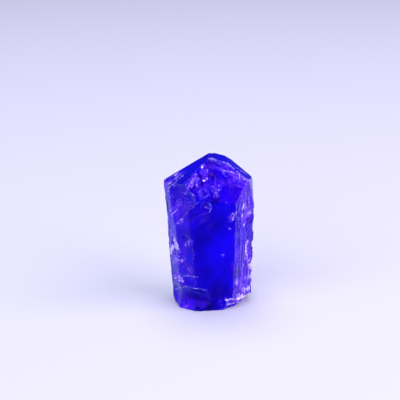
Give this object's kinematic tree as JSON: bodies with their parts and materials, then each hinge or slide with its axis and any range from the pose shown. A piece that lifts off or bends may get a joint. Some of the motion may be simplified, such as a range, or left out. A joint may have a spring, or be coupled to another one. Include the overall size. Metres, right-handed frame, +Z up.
{
  "type": "rough tanzanite crystal",
  "caption": "Rough gem crystal: a flattened, striated prism with a sloping roof-shaped top, conchoidal breaks and chipped edges, standing on its broken base.",
  "frame": {"origin": "middle of the crystal's footprint box, on the surface that it stands on", "axes": "+Z up along the crystal's length, +X to the crystal's striated right side, -Y out of its broad front face"},
  "size_m": [0.0142, 0.0098, 0.0246],
  "materials": {
    "tanzanite": "clear deep blue-violet gem crystal, glossy on its broken faces, striated and frosted where it grew"
  },
  "bodies": {
    "root": {"crystal": "tanzanite"}
  },
  "joints": []
}
